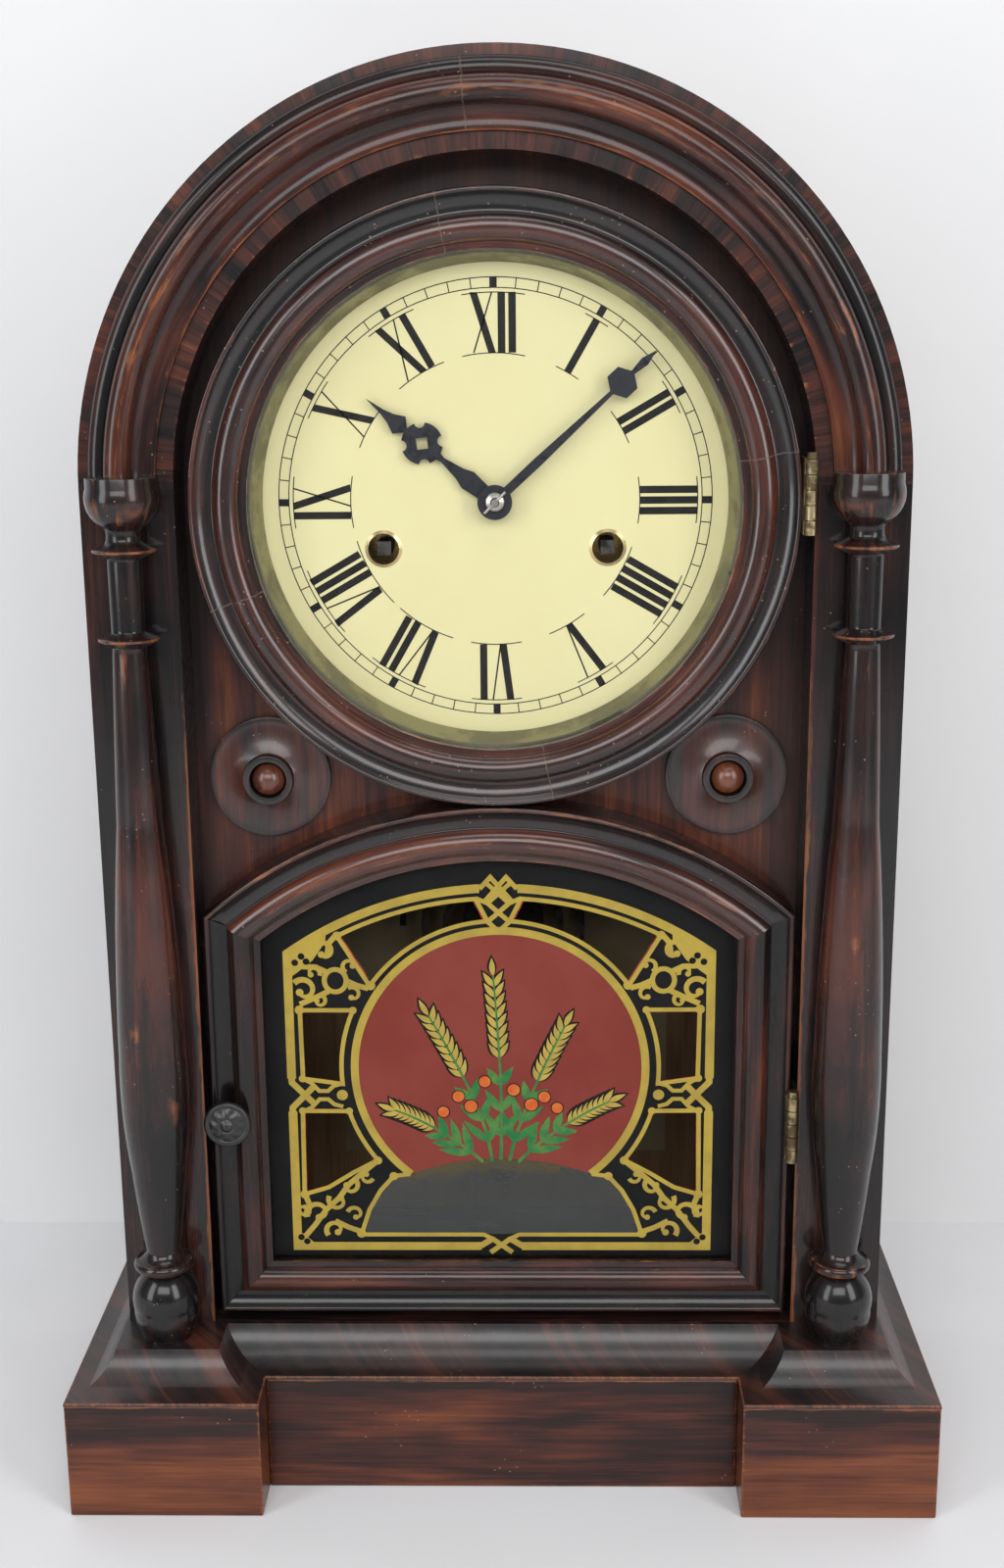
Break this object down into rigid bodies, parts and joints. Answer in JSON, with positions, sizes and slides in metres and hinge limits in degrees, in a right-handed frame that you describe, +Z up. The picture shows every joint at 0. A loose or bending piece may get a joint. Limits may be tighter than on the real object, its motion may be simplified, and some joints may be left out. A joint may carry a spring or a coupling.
{
  "type": "shelf clock",
  "caption": "Round-topped wooden shelf clock with a hinged round dial door, a glazed lower door, turned columns, a stepped base and a spring-driven striking pendulum movement.",
  "frame": {"origin": "middle of the base on the shelf", "axes": "+Z up, the dial faces -Y, +X to the right as seen from the front"},
  "size_m": [0.291, 0.125, 0.47],
  "materials": {
    "rosewood": "glossy old shellac",
    "ebonised": "glossy ebonised shellac",
    "walnut": "glossy shellac",
    "pine": "bare, darkened with age",
    "clear_glass": "polished",
    "painted_glass": "painted and gilt on the back",
    "old_brass": "tarnished",
    "movement_brass": "rolled",
    "dial_paint": "aged cream paint",
    "blued_steel": "blued and darkened",
    "steel": "dull",
    "gong_iron": "blackened",
    "label_paper": "aged paper"
  },
  "bodies": {
    "case": {"case_sides": "pine", "arch_top": "pine", "back_board": "pine", "case_floor": "pine", "face_stiles": "rosewood", "face_arch": "rosewood", "dial_panel": "walnut", "arch_moulding": "ebonised", "column_left": "ebonised", "column_right": "ebonised", "roundels": "walnut", "base_blocks": "rosewood", "base_coves": "ebonised", "apron": "rosewood", "hinge_case_leaves": "old_brass", "hinge_pins": "steel", "dial": "dial_paint", "winding_grommets": "old_brass", "front_plate": "movement_brass", "back_plate": "movement_brass", "plate_pillars": "steel", "mount_rails": "pine", "movement_screws": "steel", "back_cock": "movement_brass", "mainsprings": "steel", "strike_gong": "gong_iron", "paper_label": "label_paper"},
    "dial_door": {"dial_door_ring": "ebonised", "dial_glass": "clear_glass", "sight_ring": "old_brass", "dial_hinge_door_leaf": "old_brass"},
    "lower_door": {"lower_door_top_rail": "ebonised", "lower_door_bottom_rail": "ebonised", "lower_door_stile_left": "ebonised", "lower_door_stile_right": "ebonised", "tablet_glass": "painted_glass", "glass_stops": "pine", "lower_hinge_door_leaf": "old_brass"},
    "door_knob": {"door_knob": "ebonised", "door_latch": "old_brass"},
    "minute_arbor": {"centre_arbor": "steel", "minute_hand": "blued_steel", "hand_fixings": "movement_brass"},
    "minute_wheel": {"minute_wheel": "movement_brass"},
    "hour_wheel": {"hour_wheel": "movement_brass", "hour_hand": "blued_steel"},
    "escape_wheel": {"escape_wheel": "movement_brass"},
    "third_wheel": {"third_wheel": "movement_brass"},
    "centre_wheel": {"centre_wheel": "movement_brass"},
    "time_great_wheel": {"time_great_wheel": "movement_brass"},
    "time_winding_arbor": {"time_winding_arbor": "steel"},
    "strike_pin_wheel": {"strike_pin_wheel": "movement_brass"},
    "strike_great_wheel": {"strike_great_wheel": "movement_brass"},
    "strike_fly": {"strike_fly": "movement_brass"},
    "strike_winding_arbor": {"strike_winding_arbor": "steel"},
    "strike_hammer": {"strike_hammer": "steel"},
    "pendulum": {"pendulum_rod": "steel"},
    "verge": {"verge": "steel"},
    "pendulum_bob": {"pendulum_bob": "old_brass"},
    "rating_nut": {"rating_nut": "old_brass"}
  },
  "joints": [
    {"name": "dial_door_hinge", "type": "hinge", "parent": "case", "child": "dial_door", "pos_m": [0.0978, -0.0334, 0.3371], "axis": [0, 0, 1], "range_deg": [0, 110]},
    {"name": "lower_door_hinge", "type": "hinge", "parent": "case", "child": "lower_door", "pos_m": [0.0978, -0.0334, 0.12751], "axis": [0, 0, 1], "range_deg": [0, 110]},
    {"name": "door_knob_turn", "type": "hinge", "parent": "lower_door", "child": "door_knob", "pos_m": [-0.0913, -0.0184, 0.13001], "axis": [0, -1, 0], "range_deg": [0, 90]},
    {"name": "minute_hand_turn", "type": "hinge", "parent": "case", "child": "minute_arbor", "pos_m": [0, 0.02, 0.3349], "axis": [0, 1, 0], "continuous": true},
    {"name": "minute_wheel_turn", "type": "hinge", "parent": "case", "child": "minute_wheel", "pos_m": [-0.01663, 0.02, 0.3445], "axis": [0, 1, 0], "continuous": true},
    {"name": "hour_hand_turn", "type": "hinge", "parent": "case", "child": "hour_wheel", "pos_m": [0, 0.02, 0.3349], "axis": [0, 1, 0], "continuous": true},
    {"name": "centre_wheel_turn", "type": "hinge", "parent": "case", "child": "centre_wheel", "pos_m": [0, 0.02, 0.3349], "axis": [0, 1, 0], "continuous": true},
    {"name": "third_wheel_turn", "type": "hinge", "parent": "case", "child": "third_wheel", "pos_m": [0.00976, 0.02, 0.35584], "axis": [0, 1, 0], "continuous": true},
    {"name": "escape_wheel_turn", "type": "hinge", "parent": "case", "child": "escape_wheel", "pos_m": [0, 0.02, 0.36876], "axis": [0, 1, 0], "continuous": true},
    {"name": "time_great_wheel_turn", "type": "hinge", "parent": "case", "child": "time_great_wheel", "pos_m": [0.036, 0.02, 0.3199], "axis": [0, 1, 0], "continuous": true},
    {"name": "time_winding_turn", "type": "hinge", "parent": "case", "child": "time_winding_arbor", "pos_m": [0.036, 0.02, 0.3199], "axis": [0, 1, 0], "continuous": true},
    {"name": "pin_wheel_turn", "type": "hinge", "parent": "case", "child": "strike_pin_wheel", "pos_m": [-0.04087, 0.02, 0.35456], "axis": [0, 1, 0], "continuous": true},
    {"name": "strike_great_wheel_turn", "type": "hinge", "parent": "case", "child": "strike_great_wheel", "pos_m": [-0.036, 0.02, 0.3199], "axis": [0, 1, 0], "continuous": true},
    {"name": "fly_turn", "type": "hinge", "parent": "case", "child": "strike_fly", "pos_m": [-0.02318, 0.02, 0.36941], "axis": [0, 1, 0], "continuous": true},
    {"name": "strike_winding_turn", "type": "hinge", "parent": "case", "child": "strike_winding_arbor", "pos_m": [-0.036, 0.02, 0.3199], "axis": [0, 1, 0], "continuous": true},
    {"name": "hammer_swing", "type": "hinge", "parent": "case", "child": "strike_hammer", "pos_m": [-0.014, 0.02, 0.2935], "axis": [0, 1, 0], "range_deg": [-0.5, 12]},
    {"name": "pendulum_swing", "type": "hinge", "parent": "case", "child": "pendulum", "pos_m": [0, 0.044, 0.3886], "axis": [0, 1, 0], "range_deg": [-5, 5]},
    {"name": "verge_rock", "type": "hinge", "parent": "case", "child": "verge", "pos_m": [0, 0.02, 0.3886], "axis": [0, 1, 0], "range_deg": [-5, 5]},
    {"name": "bob_height", "type": "slide", "parent": "pendulum", "child": "pendulum_bob", "axis": [0, 0, 1], "range_m": [-0.0024, 0.0024]},
    {"name": "rating_nut_turn", "type": "hinge", "parent": "pendulum_bob", "child": "rating_nut", "pos_m": [0, 0.044, 0.0766], "axis": [0, 0, 1], "range_deg": [-1080, 1080]}
  ],
  "couplings": [
    {"joint": "minute_wheel_turn", "follows": "minute_hand_turn", "ratio": -0.33333},
    {"joint": "hour_hand_turn", "follows": "minute_hand_turn", "ratio": 0.083333},
    {"joint": "third_wheel_turn", "follows": "centre_wheel_turn", "ratio": -10},
    {"joint": "escape_wheel_turn", "follows": "centre_wheel_turn", "ratio": 80},
    {"joint": "time_great_wheel_turn", "follows": "centre_wheel_turn", "ratio": -0.083333},
    {"joint": "strike_great_wheel_turn", "follows": "pin_wheel_turn", "ratio": -0.16667},
    {"joint": "fly_turn", "follows": "pin_wheel_turn", "ratio": -10},
    {"joint": "verge_rock", "follows": "pendulum_swing", "ratio": 1},
    {"joint": "rating_nut_turn", "follows": "bob_height", "rad_per_m": 7854}
  ]
}
